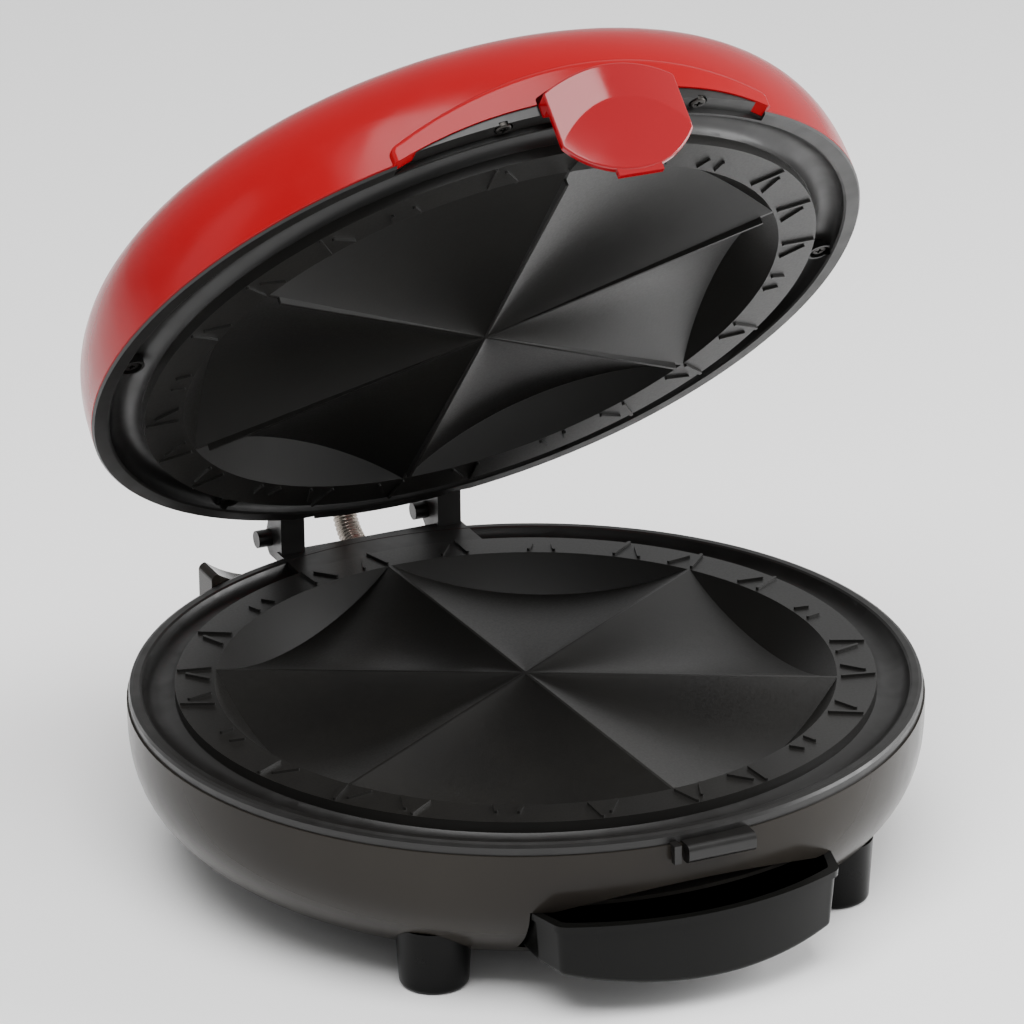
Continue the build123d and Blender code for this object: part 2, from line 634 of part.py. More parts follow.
ring_in = PLATE_R - SEAT_LIP
seat_z = RIM_Z + LOWER_FACE - FLANGE_T
skirt_r = SHELL_R - WALL - FIT
knee = RIM_EDGE * (1 - cos(pi / 4))
with BuildPart() as base_trim_ring:
    with BuildSketch(Plane.XZ):
        with BuildLine():
            Polyline((PLATE_R + FIT, seat_z), (ring_in, seat_z), (ring_in, seat_z - RING_T))
            Line((ring_in, seat_z - RING_T), (PLATE_R, seat_z - RING_T))
            ThreePointArc(
                (PLATE_R, seat_z - RING_T),
                (MOAT_MID_R, RIM_Z - MOAT_DROP - RING_T),
                (skirt_r - 2, RIM_Z - RING_T - 1.6),
            )
            Polyline(
                (skirt_r - 2, RIM_Z - RING_T - 1.6),
                (skirt_r - 2, RIM_Z - SKIRT_DEPTH),
                (skirt_r, RIM_Z - SKIRT_DEPTH),
                (skirt_r, SEAM_Z),
                (RIM_R, SEAM_Z),
                (RIM_R, RIM_Z - RIM_EDGE),
            )
            Polyline((RIM_R, RIM_Z - RIM_EDGE), (RIM_R - knee, RIM_Z - knee), (RIM_R - RIM_EDGE, RIM_Z))
            Line((RIM_R - RIM_EDGE, RIM_Z), (MOAT_R + 0.7, RIM_Z))
            Line((MOAT_R + 0.7, RIM_Z), (MOAT_R, RIM_Z - 0.4))
            ThreePointArc(
                (MOAT_R, RIM_Z - 0.4), (MOAT_MID_R, RIM_Z - MOAT_DROP), (PLATE_R + FIT, seat_z)
            )
        make_face()
    revolve(axis=Axis.Z)
    with BuildSketch(Plane.XY.offset(RIM_Z - LAND_T)):
        with Locations((0, LAND_BACK - 15)):
            Rectangle(2 * LAND_HALF, 30)
        Circle(PLATE_R + FIT, mode=Mode.SUBTRACT)
    extrude(amount=LAND_T - 0.1)
    for side in (-1, 1):
        with BuildSketch(Plane.YZ.offset(side * POST_X - POST_W / 2)):
            with BuildLine():
                Polyline(
                    (HINGE_Y + EAR_R, HINGE_Z),
                    (HINGE_Y + EAR_R, RIM_Z + 9),
                    (POST_BACK, RIM_Z + 2),
                    (POST_BACK, RIM_Z - 1),
                    (POST_BACK - 3, RIM_Z - LAND_T),
                    (HINGE_Y - 8, RIM_Z - LAND_T),
                    (HINGE_Y - EAR_R, RIM_Z - 0.1),
                    (HINGE_Y - EAR_R, HINGE_Z),
                )
                ThreePointArc(
                    (HINGE_Y - EAR_R, HINGE_Z),
                    (HINGE_Y, HINGE_Z + EAR_R),
                    (HINGE_Y + EAR_R, HINGE_Z),
                )
            make_face()
        extrude(amount=POST_W)
        outer = side * POST_X - POST_W / 2
        add(rod(PEG_R, outer - PEG_L, outer + 1, POST_BACK - 3.5, RIM_Z + 2.3))
        add(rod(PIN_R + SEAT, side * POST_X - POST_W, side * POST_X + POST_W, HINGE_Y, HINGE_Z),
            mode=Mode.SUBTRACT)
    add(catch())
    with Locations(Plane(base_exit + Vector(CONDUIT_X, 0, 0), z_dir=base_out)):
        Cylinder(FERRULE_R + SEAT, 2 * FERRULE_L, mode=Mode.SUBTRACT)
base_trim_ring.part.label = "base_trim_ring"
export_step(base_trim_ring.part, "parts/base_trim_ring.step")

# ---- lower cooking unit -----------------------------------------------------------------------
with BuildPart() as lower_plate:
    add(plate_casting(LOWER_RISE, LOWER_MARKS).moved(LOWER_SEAT))
lower_plate.part.label = "lower_plate"
export_step(lower_plate.part, "parts/lower_plate.step")

with BuildPart() as lower_heating_element:
    add(heater().moved(LOWER_SEAT))
lower_heating_element.part.label = "lower_heating_element"
export_step(lower_heating_element.part, "parts/lower_heating_element.step")

with BuildPart() as lower_reflector:
    add(reflector().moved(LOWER_SEAT))
lower_reflector.part.label = "lower_reflector"
export_step(lower_reflector.part, "parts/lower_reflector.step")

with BuildPart() as lower_plate_screws:
    add(plate_screws().moved(LOWER_SEAT))
lower_plate_screws.part.label = "lower_plate_screws"
export_step(lower_plate_screws.part, "parts/lower_plate_screws.step")

with BuildPart() as thermostat:
    with Locations((0, 0, RIM_Z + LOWER_FACE - HEATER_DROP)):
        Cylinder(THERMOSTAT_R, THERMOSTAT_H, align=DOWN)
    fillet(thermostat.edges().group_by(Axis.Z)[0], 1.0)
    for side in (-1, 1):
        with Locations((side * 4.5, 0, RIM_Z + LOWER_FACE - HEATER_DROP - THERMOSTAT_H)):
            Box(0.8, 5, 6, align=DOWN)
thermostat.part.label = "thermostat"
export_step(thermostat.part, "parts/thermostat.step")

pan_back = RIM_Z + LOWER_FACE - REFLECTOR_DROP - REFLECTOR_T
with BuildPart() as thermal_fuse:
    with Locations(Location((0, FUSE_Y, pan_back - FUSE_R - 0.5), (0, 90, 0))):
        Cylinder(FUSE_R, FUSE_L)
    with Locations((0, FUSE_Y, pan_back)):
        Box(6, 2 * FUSE_R + 2, 2 * FUSE_R + 1.5, align=DOWN)
thermal_fuse.part.label = "thermal_fuse"
export_step(thermal_fuse.part, "parts/thermal_fuse.step")

with BuildPart() as terminal_block:
    with Locations((CORD_GLAND_X - 6, TERMINAL_Y, FLOOR_Z + WALL)):
        Box(24, 12, 9, align=UP)
    fillet(terminal_block.edges().group_by(Axis.Z)[-1], 0.8)
    screw_places = [(CORD_GLAND_X - 6 + 8 * step, TERMINAL_Y, FLOOR_Z + WALL + 9) for step in (-1, 0, 1)]
    with Locations(*screw_places):
        Cylinder(2.4, 4, align=DOWN, mode=Mode.SUBTRACT)
terminal_block.part.label = "terminal_block"
export_step(terminal_block.part, "parts/terminal_block.step")

# ---- cord inlet -------------------------------------------------------------------------------
with BuildPart() as cord_gland:
    wall_y = sqrt(bowl_radius(CORD_GLAND_DROP) ** 2 - CORD_GLAND_X**2)
    with Locations(Plane((CORD_GLAND_X, wall_y, RIM_Z - CORD_GLAND_DROP), z_dir=(0, 1, 0))):
        Cylinder(CORD_GLAND_R, 2 * CORD_GLAND_OUT + 4)
        Cylinder(3.2, 4 * CORD_GLAND_OUT, mode=Mode.SUBTRACT)
    fillet(cord_gland.edges().sort_by(Axis.Y)[-2:], 0.7)
cord_gland.part.label = "cord_gland"
export_step(cord_gland.part, "parts/cord_gland.step")

# ---- drip tray and its housing ----------------------------------------------------------------
with BuildPart() as drip_tray:
    add(tray_form(-TRAY_RIM, False))
    belly_face = drip_tray.faces().sort_by(Axis.Z)[0]
    fillet(belly_face.edges(), TRAY_ROUND)
    add(tray_form(0, False) & block(-TRAY_FRONT, TRAY_FRONT, -2 * TRAY_FRONT, 0,
                                    RIM_Z - TRAY_TOP - TRAY_RIM_H, RIM_Z))
    add(tray_form(-TRAY_RIM - TRAY_WALL, False), mode=Mode.SUBTRACT)
drip_tray.part.label = "drip_tray"
export_step(drip_tray.part, "parts/drip_tray.step")

house_half = TRAY_HALF + TRAY_GAP + 0.3
house_back = -TRAY_BACK + TRAY_GAP + 0.6
house_top = RIM_Z - TRAY_TOP + TRAY_GAP
with BuildPart() as tray_housing:
    add(block(-house_half - HOUSING_T, house_half + HOUSING_T, -TRAY_FRONT, house_back + HOUSING_T,
              FLOOR_Z + WALL, house_top + HOUSING_T))
    with BuildSketch(Plane.XZ):
        with BuildLine():
            Polyline(
                (HOOD_R, house_top),
                (HOOD_R + HOOD_RUN, house_top + HOOD_RISE),
                (HOOD_R + HOOD_RUN, house_top + HOOD_RISE + 2 * HOUSING_T),
                (HOOD_R - 6, house_top + HOUSING_T),
                (HOOD_R - 6, house_top),
                (HOOD_R, house_top),
            )
        make_face()
    revolve(axis=Axis.Z)
    add(block(-house_half - HOUSING_T, house_half + HOUSING_T, -TRAY_FRONT, house_back + HOUSING_T,
              FLOOR_Z + WALL, RIM_Z), mode=Mode.INTERSECT)
    add(block(-house_half, house_half, -TRAY_FRONT - 5, house_back, FLOOR_Z, house_top),
        mode=Mode.SUBTRACT)
    add(bowl(WALL + FIT, SHELL_SEAM, SHELL_DEPTH - WALL), mode=Mode.INTERSECT)
tray_housing.part.label = "tray_housing"
export_step(tray_housing.part, "parts/tray_housing.step")

# ---- hinge pins -------------------------------------------------------------------------------
lug_out = POST_X - POST_W / 2 - LUG_GAP
lug_in = lug_out - LUG_W
for side, pin_name in ((-1, "hinge_pin_left"), (1, "hinge_pin_right")):
    with BuildPart() as pin:
        with Locations(Plane((side * (POST_X + POST_W / 2), HINGE_Y, HINGE_Z), z_dir=(side, 0, 0))):
            Cylinder(PIN_HEAD_R, PIN_HEAD_T, align=UP)
            Cylinder(PIN_R, POST_X + POST_W / 2 - lug_in + 0.8, align=DOWN)
    pin.part.label = pin_name
    export_step(pin.part, f"parts/{pin_name}.step")

# ---- wire conduit -----------------------------------------------------------------------------
route = conduit_route.wires()[0]
ribs = round(route.length / RIB_PITCH)
step = route.length / ribs
crest = CONDUIT_OD / 2
root = crest - RIB_DEPTH
with BuildPart() as wire_conduit:
    for rib in range(ribs):
        for share, radius in ((0.0, root), (0.2, root), (0.38, crest), (0.82, crest)):
            along = (rib + share) * step / route.length
            with BuildSketch(Plane(route @ along, x_dir=(1, 0, 0), z_dir=route % along)):
                Circle(radius)
    with BuildSketch(Plane(route @ 1, x_dir=(1, 0, 0), z_dir=route % 1)):
        Circle(root)
    loft(ruled=True)
    with BuildSketch(Plane(route @ 0, x_dir=(1, 0, 0), z_dir=route % 0)):
        Circle(CONDUIT_BORE / 2)
    sweep(path=route, mode=Mode.SUBTRACT)
wire_conduit.part.label = "wire_conduit"
export_step(wire_conduit.part, "parts/wire_conduit.step")


def ferrule(origin, direction):
    """Bush through a wall that takes an end of the conduit."""
    with BuildPart(mode=Mode.PRIVATE) as bush:
        with Locations(Plane(origin - direction * FERRULE_IN, z_dir=direction)):
            Cylinder(FERRULE_R, FERRULE_L, align=UP)
            Cylinder(CONDUIT_OD / 2 + SEAT, FERRULE_L, align=UP, mode=Mode.SUBTRACT)
    return bush.part


with BuildPart() as conduit_base_ferrule:
    add(ferrule(base_exit + Vector(CONDUIT_X, 0, 0), base_out))
conduit_base_ferrule.part.label = "conduit_base_ferrule"
export_step(conduit_base_ferrule.part, "parts/conduit_base_ferrule.step")

with BuildPart() as conduit_lid_ferrule:
    add(ferrule(lid_entry + Vector(CONDUIT_X, 0, 0), lid_out))
conduit_lid_ferrule.part.label = "conduit_lid_ferrule"
export_step(conduit_lid_ferrule.part, "parts/conduit_lid_ferrule.step")

# ---- lid, drawn closed ------------------------------------------------------------------------

def brow():
    """Visor over the latch, standing out from the front of the dome."""
    left = BROW_X - BROW_HALF
    right = BROW_X + BROW_HALF
    end = LID_RIM + BROW_END
    low = LID_RIM + DOME_EDGE
    with BuildPart(mode=Mode.PRIVATE) as visor:
        with BuildSketch(Plane.XZ.offset(LID_R / 2)):
            with BuildLine():
                ThreePointArc((left, end), (BROW_X + 1, LID_RIM + BROW_TOP), (right, end))
                Polyline((right, end), (right, low), (left, low), (left, end))
            make_face()
            fillet(vertices().sort_by(Axis.Y)[2:], BROW_CORNER)
        extrude(amount=LID_R)
        add(tube(BROW_R, 0, LID_RIM, LID_RIM + 2 * BROW_TOP), mode=Mode.INTERSECT)
        front = visor.faces().sort_by(Axis.Y)[0]
        fillet(front.edges().sort_by(Axis.Z)[1:], BROW_ROUND)
    return visor.part


def brow_gap(clear):
    """Space under the brow where the bezel shows."""
    low = LID_RIM + DOME_EDGE - clear
    top = LID_RIM + BROW_LOW - clear
    left = BROW_X - BROW_HALF + 1
    right = BROW_X + BROW_HALF - 1
    knee = BROW_FLAT * BROW_HALF
    with BuildPart(mode=Mode.PRIVATE) as gap:
        with BuildSketch(Plane.XZ.offset(LID_R / 2)):
            with BuildLine():
                Spline((left, low), (BROW_X - knee, top - 0.7), (BROW_X, top), (BROW_X + knee, top - 0.3),
                       (right, low))
                Polyline((right, low), (right, low - 5), (left, low - 5), (left, low))
            make_face()
        extrude(amount=LID_R)
    return gap.part


def latch_block(side, above, front, back):
    """Block with the latch's outline, wider by side and higher by above, from front to back."""
    left = LATCH_X - LATCH_HALF - side
    right = LATCH_X + LATCH_HALF + side
    shoulder = LID_RIM + LATCH_SHOULDER
    top_end = LID_RIM + LATCH_TOP_END + above
    with BuildPart(mode=Mode.PRIVATE) as solid:
        with BuildSketch(Plane.XZ.offset(back)):
            with BuildLine():
                ThreePointArc((left, shoulder), (LATCH_X, LID_RIM + LATCH_LOW), (right, shoulder))
                Line((right, shoulder), (right, top_end))
                ThreePointArc((right, top_end), (LATCH_X, LID_RIM + LATCH_TOP + above), (left, top_end))
                Line((left, top_end), (left, shoulder))
            make_face()
            fillet(vertices(), LATCH_CORNER)
        extrude(amount=front - back)
    return solid.part


ledge_screws = [
    (LATCH_X + side * LEDGE_SCREW_X, -sqrt(LEDGE_SCREW_R**2 - (LATCH_X + side * LEDGE_SCREW_X) ** 2))
    for side in (-1, 1)
]
moat_screws = [Vector(MOAT_SCREW_R, 0, 0).rotate(Axis.Z, angle) for angle in MOAT_SCREW_ANGLES]
latch_left = LATCH_X - LATCH_HALF
latch_right = LATCH_X + LATCH_HALF
lid_spigot_r = LID_R - WALL - FIT

with BuildPart() as lid_shell:
    add(dome(0, DOME_EDGE))
    chamfer(lid_shell.edges().group_by(Axis.Z)[0], EDGE_BEVEL)
    add(brow())
    add(dome(WALL, -1), mode=Mode.SUBTRACT)
    add(brow_gap(0), mode=Mode.SUBTRACT)
    add(latch_block(LATCH_SIDE, LATCH_NOTCH, BROW_R + 2, LID_R - 6), mode=Mode.SUBTRACT)
    for side in (-1, 1):
        inside = side * (lug_in - 0.5)
        between = side * (lug_out + 0.2)
        outside = side * (POST_X + POST_W / 2 + NOTCH_GAP)
        ear_top = HINGE_Z + EAR_R + NOTCH_GAP
        pad_back = HINGE_Y - EAR_R - NOTCH_GAP
        pad = block(min(between, outside), max(between, outside), pad_back - WALL, LID_R,
                    LID_RIM + 6, ear_top + WALL)
        add(pad & dome(0, DOME_EDGE))
        add(block(min(inside, between), max(inside, between), RIM_R - 20, HINGE_Y, LID_RIM - 1,
                  HINGE_Z + LUG_R + NOTCH_GAP), mode=Mode.SUBTRACT)
        add(block(min(between, outside), max(between, outside), pad_back, HINGE_Y + 5,
                  LID_RIM - 1, ear_top), mode=Mode.SUBTRACT)
    with Locations(Plane((CONDUIT_X, lid_wall.Y, lid_wall.Z), z_dir=(0, 1, 0))):
        Cylinder(FERRULE_R + SEAT, 4 * WALL, mode=Mode.SUBTRACT)
    with Locations(*[(x, y, LID_RIM) for x, y in ledge_screws]):
        Cylinder(SCREW_SHANK_R + SEAT, 2 * (BEZEL_STEP + LEDGE_SINK + LEDGE_BITE + 0.2), mode=Mode.SUBTRACT)
lid_shell.part = lid_shell.part.moved(SWING)
lid_shell.part.label = "lid_shell"
export_step(lid_shell.part, "parts/lid_shell.step")

# ---- lid bezel --------------------------------------------------------------------------------
flange_back = LID_RIM - UPPER_FACE + FLANGE_T
with BuildPart() as lid_bezel:
    with BuildSketch(Plane.XZ):
        with BuildLine():
            Polyline((PLATE_R + FIT, flange_back), (ring_in, flange_back), (ring_in, flange_back + RING_T))
            Line((ring_in, flange_back + RING_T), (PLATE_R, flange_back + RING_T))
            ThreePointArc(
                (PLATE_R, flange_back + RING_T),
                (MOAT_MID_R, LID_RIM + MOAT_DROP + RING_T),
                (lid_spigot_r - 2, LID_RIM + RING_T + 1.0),
            )
            Polyline(
                (lid_spigot_r - 2, LID_RIM + RING_T + 1.0),
                (lid_spigot_r - 2, LID_RIM + 5),
                (lid_spigot_r, LID_RIM + 5),
                (lid_spigot_r, LID_RIM + DOME_EDGE - 0.05),
                (LID_R, LID_RIM + DOME_EDGE - 0.05),
                (LID_R - 0.6, LID_RIM),
                (MOAT_R + 0.7, LID_RIM),
                (MOAT_R, LID_RIM + 0.4),
            )
            ThreePointArc(
                (MOAT_R, LID_RIM + 0.4), (MOAT_MID_R, LID_RIM + MOAT_DROP), (PLATE_R + FIT, flange_back)
            )
        make_face()
    revolve(axis=Axis.Z)
    front_band = tube(BEZEL_BROW_R, MOAT_R + 0.8, LID_RIM + 0.3, LID_RIM + 2 * BROW_LOW)
    add(front_band & brow_gap(0.1))
    step_cut = tube(BROW_R + 5, BEZEL_STEP_R, LID_RIM - 1, LID_RIM + BEZEL_STEP)
    add(step_cut & brow_gap(0.1), mode=Mode.SUBTRACT)
    high = LID_RIM + 2 * LATCH_TOP
    room = latch_block(LATCH_SIDE, LATCH_NOTCH, BROW_R + 2, BAY_WALL_R + BAY_WALL_T)
    add(room & block(latch_left - 1, latch_right + 1, -BROW_R - 2, 0, LID_RIM + BRACKET_LOW, high),
        mode=Mode.SUBTRACT)
    add(room & block(latch_left - 1, latch_right + 1, -BROW_R - 2, ROOF_GAP - LATCH_ROOF_BACK,
                     LID_RIM + 0.3, high), mode=Mode.SUBTRACT)
    back_wall = latch_block(LATCH_SIDE, LATCH_NOTCH, BAY_WALL_R + BAY_WALL_T, BAY_WALL_R)
    add(back_wall & block(latch_left, latch_right, -LID_R, 0, LID_RIM + BRACKET_LOW, high))
    add(block(LATCH_X - BRACKET_HALF, LATCH_X + BRACKET_HALF, -LATCH_PIVOT_Y - KNUCKLE_R, -BAY_WALL_R,
              LID_RIM + BRACKET_LOW, LID_RIM + LATCH_PIVOT_Z + KNUCKLE_R))
    add(rod(LATCH_PIN_R + PIN_RUN, latch_left, latch_right, -LATCH_PIVOT_Y, LID_RIM + LATCH_PIVOT_Z),
        mode=Mode.SUBTRACT)
    for side in (-1, 1):
        near = min(side * lug_in, side * lug_out)
        with BuildSketch(Plane.YZ.offset(near)):
            with BuildLine():
                Polyline(
                    (HINGE_Y, HINGE_Z + LUG_R),
                    (LUG_ROOT, HINGE_Z + LUG_R),
                    (LUG_ROOT, LID_RIM + 2),
                    (LID_R - 2.8, LID_RIM + 2),
                    (HINGE_Y + LUG_R, HINGE_Z),
                )
                ThreePointArc(
                    (HINGE_Y + LUG_R, HINGE_Z),
                    (HINGE_Y + LUG_R * 0.7071, HINGE_Z + LUG_R * 0.7071),
                    (HINGE_Y, HINGE_Z + LUG_R),
                )
            make_face()
        extrude(amount=LUG_W)
        add(rod(PIN_R + PIN_RUN, near - 1, near + LUG_W + 1, HINGE_Y, HINGE_Z), mode=Mode.SUBTRACT)
        post_in = min(side * (lug_out + 0.2), side * (POST_X + POST_W / 2 + NOTCH_GAP))
        post_out = max(side * (lug_out + 0.2), side * (POST_X + POST_W / 2 + NOTCH_GAP))
        add(block(post_in, post_out, HINGE_Y - EAR_R - NOTCH_GAP, LID_R + 1, LID_RIM - 1, LID_RIM + 8),
            mode=Mode.SUBTRACT)
    with Locations(*[(place.X, place.Y, LID_RIM + 1.4) for place in moat_screws]):
        Cylinder(SCREW_BOSS_R, 5.0, align=UP)
    with Locations(*[(place.X, place.Y, LID_RIM) for place in moat_screws]):
        Cylinder(SCREW_HEAD_R + FIT, 2 * MOAT_SINK, mode=Mode.SUBTRACT)
        Cylinder(SCREW_SHANK_R + SEAT, 30, mode=Mode.SUBTRACT)
    with Locations(*[(x, y, LID_RIM) for x, y in ledge_screws]):
        Cylinder(LEDGE_SINK_R, 2 * (BEZEL_STEP + LEDGE_SINK), mode=Mode.SUBTRACT)
        Cylinder(SCREW_SHANK_R + SEAT, 30, mode=Mode.SUBTRACT)
lid_bezel.part = lid_bezel.part.moved(SWING)
lid_bezel.part.label = "lid_bezel"
export_step(lid_bezel.part, "parts/lid_bezel.step")

with BuildPart() as lid_screws:
    up_screw = Rot(180, 0, 0) * cross_screw(LEDGE_HEAD_R, LEDGE_HEAD_T, SCREW_SHANK_R, LEDGE_BITE)
    for x, y in ledge_screws:
        add(Pos(x, y, LID_RIM + BEZEL_STEP + LEDGE_SINK) * up_screw)
    for place in moat_screws:
        add(Pos(place.X, place.Y, LID_RIM + MOAT_SINK) * up_screw)
lid_screws.part = lid_screws.part.moved(SWING)
lid_screws.part.label = "lid_screws"
export_step(lid_screws.part, "parts/lid_screws.step")

# ---- upper cooking unit -----------------------------------------------------------------------
with BuildPart() as upper_plate:
    add(plate_casting(UPPER_RISE, UPPER_MARKS).moved(SWING * UPPER_SEAT))
upper_plate.part.label = "upper_plate"
export_step(upper_plate.part, "parts/upper_plate.step")

with BuildPart() as upper_heating_element:
    add(heater().moved(SWING * UPPER_SEAT))
upper_heating_element.part.label = "upper_heating_element"
export_step(upper_heating_element.part, "parts/upper_heating_element.step")

with BuildPart() as upper_reflector:
    add(reflector().moved(SWING * UPPER_SEAT))
upper_reflector.part.label = "upper_reflector"
export_step(upper_reflector.part, "parts/upper_reflector.step")

with BuildPart() as upper_plate_screws:
    add(plate_screws().moved(SWING * UPPER_SEAT))
upper_plate_screws.part.label = "upper_plate_screws"
export_step(upper_plate_screws.part, "parts/upper_plate_screws.step")

# ---- latch ------------------------------------------------------------------------------------
hook_top = RIM_Z - CATCH_LOW - HOOK_GAP
scoop_z = LID_RIM + LATCH_LIP - LIP_R
scoop_r = (LIP_R**2 + SCOOP_BOW**2) / (2 * SCOOP_BOW)
waist_r = 1 / (1 / LATCH_BULGE_R - 1 / scoop_r)


def waist():
    """Waisted round form; its narrow middle gives the latch its hollow thumb face."""
    high = scoop_r * sin(WAIST_SPAN)
    wide = waist_r + scoop_r * (1 - cos(WAIST_SPAN))
    with BuildPart(mode=Mode.PRIVATE) as form:
        with BuildSketch(Plane.XZ):
            with BuildLine():
                ThreePointArc((wide, scoop_z + high), (waist_r, scoop_z), (wide, scoop_z - high))
                Polyline((wide, scoop_z - high), (0, scoop_z - high), (0, scoop_z + high),
                         (wide, scoop_z + high))
            make_face()
        revolve(axis=Axis.Z)
    return form.part


with BuildPart() as latch:
    add(latch_block(0, 0, LATCH_FACE + 1, LATCH_ROOF_BACK))
    add(tube(LATCH_BULGE_R, 0, 0, 2 * LID_RIM).moved(Pos(LATCH_X, LATCH_BULGE_R - LATCH_FACE, 0)),
        mode=Mode.INTERSECT)
    add(waist().moved(Pos(LATCH_X, waist_r + SCOOP_BOW - LATCH_FACE, 0)), mode=Mode.INTERSECT)
    band, thumb = latch.faces().sort_by(Axis.Y)[:2]
    fillet(band.edges() & thumb.edges(), LIP_ROUND)
    rims = [edge for edge in latch.edges() if edge.center().Y < -LATCH_BACK - 1.2]
    fillet(rims, LATCH_ROUND)
    add(latch_block(-LATCH_CHEEK, -LATCH_ROOF_T, LATCH_BACK, LATCH_ROOF_BACK - 1), mode=Mode.SUBTRACT)
    add(block(latch_left - 1, latch_right + 1, -LATCH_BACK, 1 - LATCH_ROOF_BACK, LID_RIM + 2 * LATCH_LOW,
              LID_RIM + 0.6), mode=Mode.SUBTRACT)
    add(block(LATCH_X - TAB_HALF, LATCH_X + TAB_HALF, -LATCH_BACK - 1.8, -LATCH_BACK,
              LID_RIM + TAB_LOW, LID_RIM + TAB_LOW + 4))
    add(block(LATCH_X - CATCH_W / 2 + 1, LATCH_X + CATCH_W / 2 - 1, -LATCH_BACK - 1, -HOOK_IN,
              hook_top - HOOK_T, hook_top))
    for side in (-1, 1):
        start = LATCH_X + side * (BRACKET_HALF + 0.4)
        stop = start + side * KNUCKLE_W
        low_x, high_x = min(start, stop), max(start, stop)
        add(rod(KNUCKLE_R, low_x, high_x, -LATCH_PIVOT_Y, LID_RIM + LATCH_PIVOT_Z))
        add(block(low_x, high_x, -LATCH_ROOF_BACK - 1, -LATCH_PIVOT_Y, LID_RIM + LATCH_PIVOT_Z,
                  LID_RIM + LATCH_PIVOT_Z + KNUCKLE_R))
    add(rod(LATCH_PIN_R + 0.02, latch_left - 1, latch_right + 1, -LATCH_PIVOT_Y, LID_RIM + LATCH_PIVOT_Z),
        mode=Mode.SUBTRACT)
latch.part = latch.part.moved(SWING)
latch.part.label = "latch"
export_step(latch.part, "parts/latch.step")

with BuildPart() as latch_pin:
    reach = BRACKET_HALF + 0.4 + KNUCKLE_W
    add(rod(LATCH_PIN_R, LATCH_X - reach, LATCH_X + reach, -LATCH_PIVOT_Y, LID_RIM + LATCH_PIVOT_Z))
latch_pin.part = latch_pin.part.moved(SWING)
latch_pin.part.label = "latch_pin"
export_step(latch_pin.part, "parts/latch_pin.step")
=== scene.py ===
"""Countertop quesadilla maker, lid open, on a pale studio floor.

This script gives each solid of the model its finish, puts a flexible ribbed conduit in place of the
rigid one behind the hinge, and adds the floor, the lights and the camera.
"""

import bpy
import math
from mathutils import Matrix, Vector


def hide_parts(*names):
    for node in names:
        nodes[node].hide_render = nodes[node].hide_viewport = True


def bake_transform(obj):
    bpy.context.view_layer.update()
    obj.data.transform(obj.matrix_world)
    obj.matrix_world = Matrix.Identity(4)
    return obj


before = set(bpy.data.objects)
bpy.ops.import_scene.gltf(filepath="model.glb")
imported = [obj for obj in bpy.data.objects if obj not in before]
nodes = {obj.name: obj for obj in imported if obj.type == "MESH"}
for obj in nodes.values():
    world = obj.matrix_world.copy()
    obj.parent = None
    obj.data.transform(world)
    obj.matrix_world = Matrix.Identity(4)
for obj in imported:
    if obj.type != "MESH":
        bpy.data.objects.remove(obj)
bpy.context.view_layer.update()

MM = 0.001  # metres in a millimetre; sizes below are in mm unless they say otherwise
RIM_Z = 54.0  # base rim above the floor
SHELL_R = 120.6
LID_R = 121.3
HINGE_Y = 122.9
HINGE_Z = 74.1
OPEN_ANGLE = 48.5  # lid angle at rest, degrees


# ---- finishes --------------------------------------------------------------------------------
NOISE_LOW = 0.3  # usual range of a noise value
NOISE_HIGH = 0.7


def colour(code):
    """Linear colour of an sRGB hex value."""
    parts = [int(code[i:i + 2], 16) / 255 for i in (0, 2, 4)]
    return [p / 12.92 if p <= 0.04045 else ((p + 0.055) / 1.055) ** 2.4 for p in parts] + [1.0]


def add_node(tree, kind, settings=None, **links):
    """Adds a node; settings go to its own fields or sockets, links join its inputs to other outputs."""
    node = tree.nodes.new(kind)
    for key, value in (settings or {}).items():
        if isinstance(key, str) and hasattr(node, key):
            setattr(node, key, value)
        else:
            node.inputs[key].default_value = value
    for key, source in links.items():
        tree.links.new(source, node.inputs[key.replace("_", " ")])
    return node


def blank_finish(name, base, roughness, **sockets):
    """Material with a principled shader and the object's own coordinates to build on."""
    finish = bpy.data.materials.new(name)
    finish.use_nodes = True
    tree = finish.node_tree
    shader = tree.nodes["Principled BSDF"]
    shader.inputs["Base Color"].default_value = colour(base)
    shader.inputs["Roughness"].default_value = roughness
    for socket, value in sockets.items():
        shader.inputs[socket.replace("_", " ")].default_value = value
    place = add_node(tree, "ShaderNodeTexCoord").outputs["Object"]
    return finish, tree, shader, place


def speckle(tree, place, size, detail=2.0):
    """Noise whose grains are about size millimetres across."""
    noise = add_node(tree, "ShaderNodeTexNoise", {"Scale": 1.0 / (size * MM), "Detail": detail},
                     Vector=place)
    return noise.outputs["Fac"]


def spread(tree, value, low, high):
    """Maps a noise value from its usual range to low..high."""
    return add_node(tree, "ShaderNodeMapRange",
                    {"From Min": NOISE_LOW, "From Max": NOISE_HIGH, "To Min": low, "To Max": high},
                    Value=value).outputs["Result"]


def tint(tree, value, low, high):
    """Colour between two hex values by a noise value."""
    ramp = add_node(tree, "ShaderNodeValToRGB", Fac=value)
    ramp.color_ramp.elements[0].color = colour(low)
    ramp.color_ramp.elements[1].color = colour(high)
    ramp.color_ramp.elements[0].position = NOISE_LOW
    ramp.color_ramp.elements[1].position = NOISE_HIGH
    return ramp.outputs["Color"]


def relief(tree, shader, height, depth, strength=1.0):
    """Surface relief that is depth millimetres high."""
    bump = add_node(tree, "ShaderNodeBump", {"Strength": strength, "Distance": depth * MM},
                    Height=height)
    tree.links.new(bump.outputs["Normal"], shader.inputs["Normal"])


